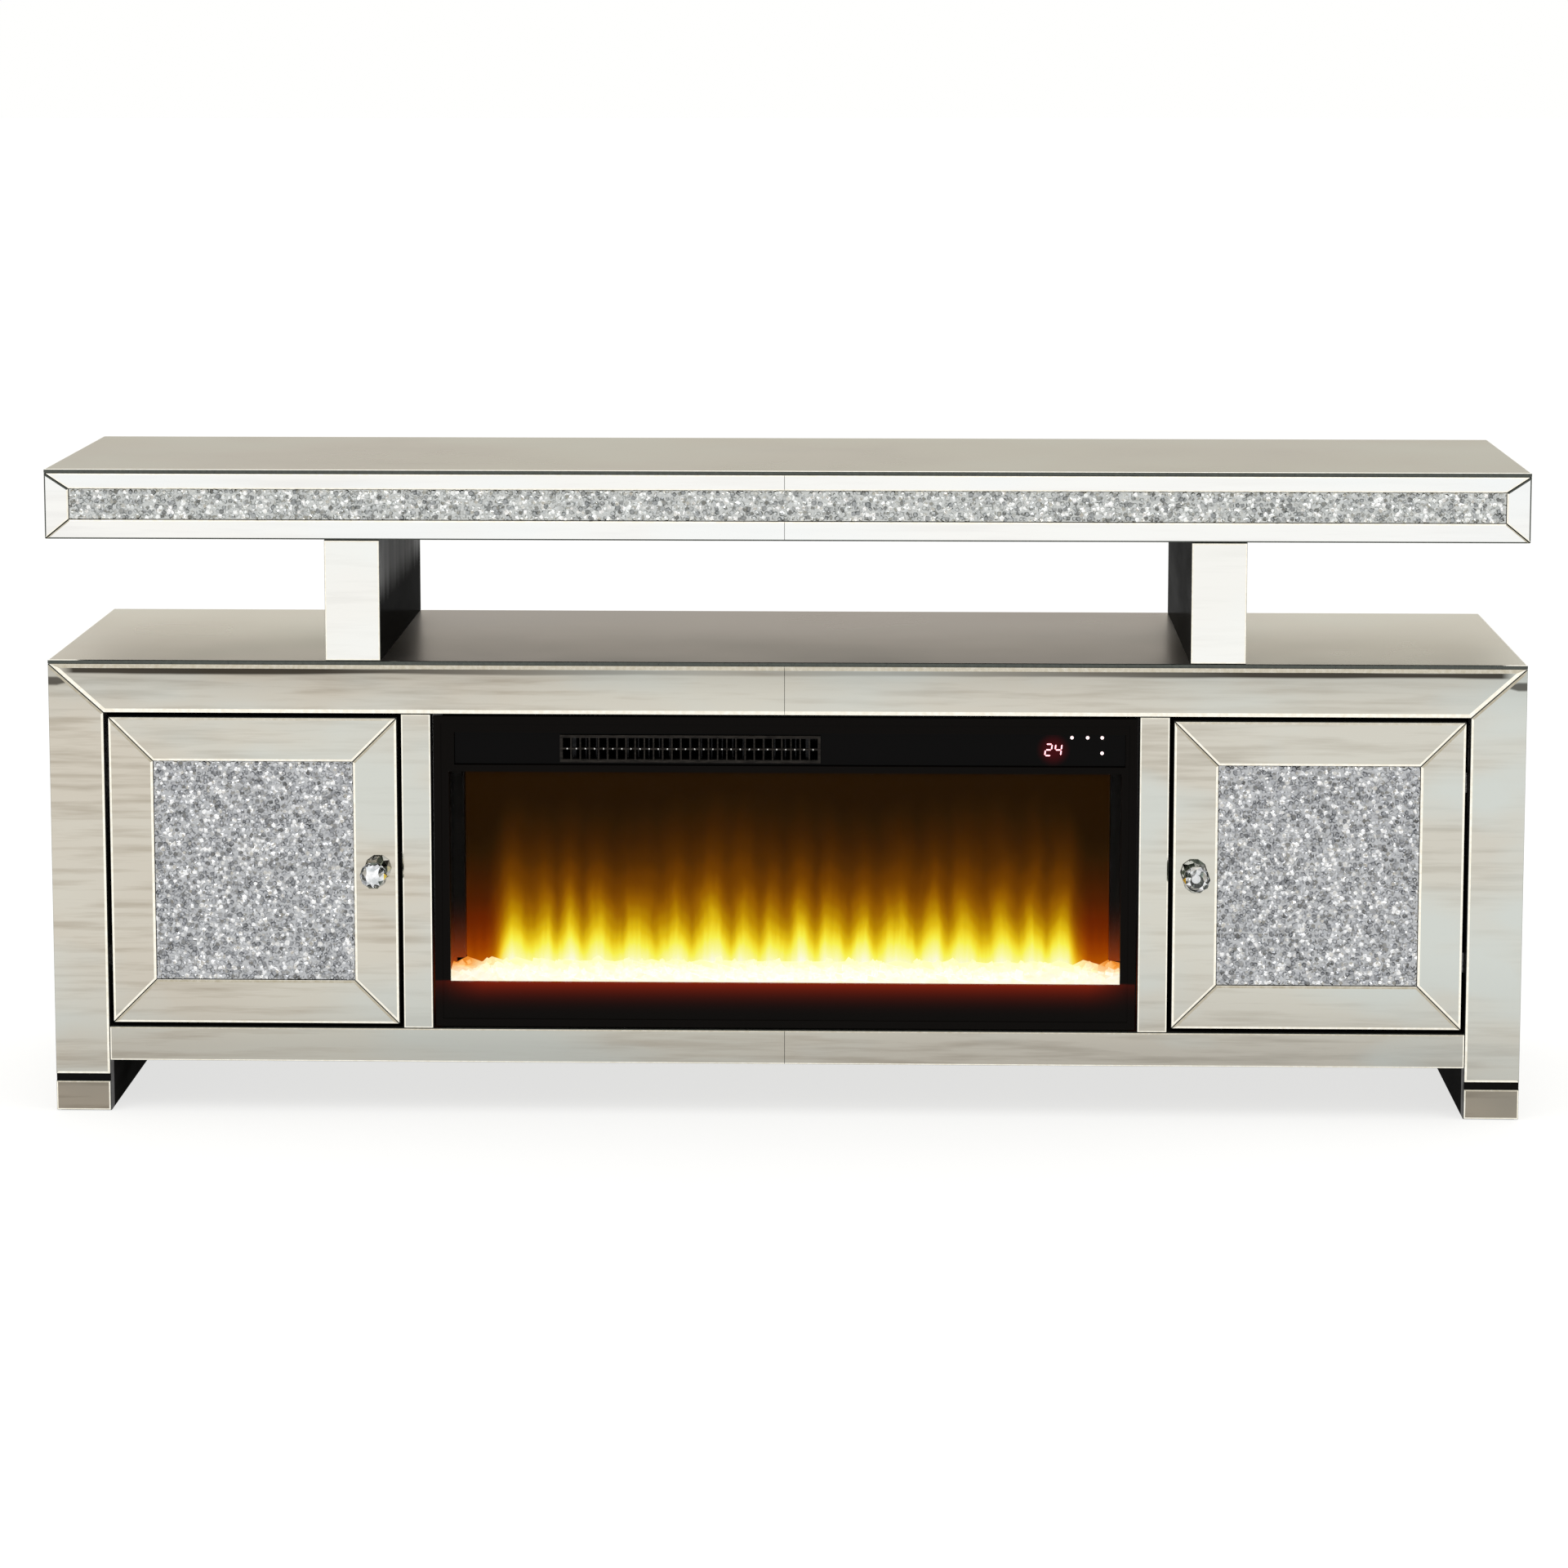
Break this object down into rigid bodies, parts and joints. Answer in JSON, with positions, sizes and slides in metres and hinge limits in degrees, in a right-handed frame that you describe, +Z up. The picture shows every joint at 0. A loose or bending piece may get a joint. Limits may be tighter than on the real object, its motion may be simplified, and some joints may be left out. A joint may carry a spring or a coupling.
{
  "type": "fireplace tv stand",
  "caption": "Mirrored media cabinet with crushed crystal panels, a hinged door at each end, a raised shelf on two posts and an electric fireplace insert in the middle.",
  "frame": {"origin": "on the floor under the middle of the whole box, knobs included", "axes": "+Z up, +X to the right seen from the front, -Y out of the front with the doors and the fireplace"},
  "size_m": [1.6, 0.432, 0.709],
  "materials": {
    "board": "black painted board",
    "lacquer": "black gloss lacquer",
    "mirror": "bevelled silvered glass",
    "crystal": "crushed crystal set in clear resin",
    "knob": "faceted crystal on a chrome base",
    "hinge": "nickel plated",
    "bezel": "satin black",
    "window": "smoked glass",
    "casing": "black powder coat",
    "ember": "clear crystal embers lit from below",
    "flame": "frosted screen with a lit flame image",
    "steel": "bare",
    "lamp": "circuit board with lamps"
  },
  "bodies": {
    "cabinet": {"deck_panel": "board", "bottom_panel": "board", "front_frame": "board", "back_panel": "board", "left_side_panel": "board", "right_side_panel": "board", "left_leg_panel": "lacquer", "right_leg_panel": "lacquer", "left_partition": "board", "right_partition": "board", "left_inner_shelf": "board", "right_inner_shelf": "board", "deck_mirror": "mirror", "top_rail_mirror": "mirror", "bottom_rail_mirror": "mirror", "left_stile_mirror": "mirror", "right_stile_mirror": "mirror", "left_mid_stile_mirror": "mirror", "right_mid_stile_mirror": "mirror", "left_side_mirror": "mirror", "right_side_mirror": "mirror", "shelf_core": "lacquer", "shelf_top_mirror": "mirror", "shelf_front_mirror": "mirror", "shelf_crystal_strip": "crystal", "left_shelf_end_mirror": "mirror", "right_shelf_end_mirror": "mirror", "left_post": "lacquer", "right_post": "lacquer", "left_post_mirror": "mirror", "right_post_mirror": "mirror", "left_lower_hinge_arm": "hinge", "left_upper_hinge_arm": "hinge", "right_lower_hinge_arm": "hinge", "right_upper_hinge_arm": "hinge", "front_bezel": "bezel", "window_glass": "window", "control_panel": "bezel", "outlet_grille": "bezel", "insert_casing": "casing", "ember_bed": "ember", "flame_screen": "flame", "rotor_motor": "steel", "lamp_strip": "lamp", "blower_housing": "steel", "heater_element": "steel"},
    "left_door": {"left_door_panel": "board", "left_door_mirror": "mirror", "left_door_crystal": "crystal", "left_knob": "knob", "left_lower_hinge_cup": "hinge", "left_upper_hinge_cup": "hinge"},
    "right_door": {"right_door_panel": "board", "right_door_mirror": "mirror", "right_door_crystal": "crystal", "right_knob": "knob", "right_lower_hinge_cup": "hinge", "right_upper_hinge_cup": "hinge"},
    "flicker_rotor": {"flame_rotor": "steel"},
    "blower_rotor": {"blower_wheel": "steel"}
  },
  "joints": [
    {"name": "left_door_hinge", "type": "hinge", "parent": "cabinet", "child": "left_door", "pos_m": [-0.7275, -0.178, 0.269], "axis": [0, 0, -1], "range_deg": [0, 100]},
    {"name": "right_door_hinge", "type": "hinge", "parent": "cabinet", "child": "right_door", "pos_m": [0.7275, -0.178, 0.269], "axis": [0, 0, 1], "range_deg": [0, 100]},
    {"name": "flame_rotor_spin", "type": "hinge", "parent": "cabinet", "child": "flicker_rotor", "pos_m": [0, -0.0347, 0.1313], "axis": [1, 0, 0], "continuous": true},
    {"name": "blower_spin", "type": "hinge", "parent": "cabinet", "child": "blower_rotor", "pos_m": [-0.1025, -0.1017, 0.41065], "axis": [1, 0, 0], "continuous": true}
  ]
}
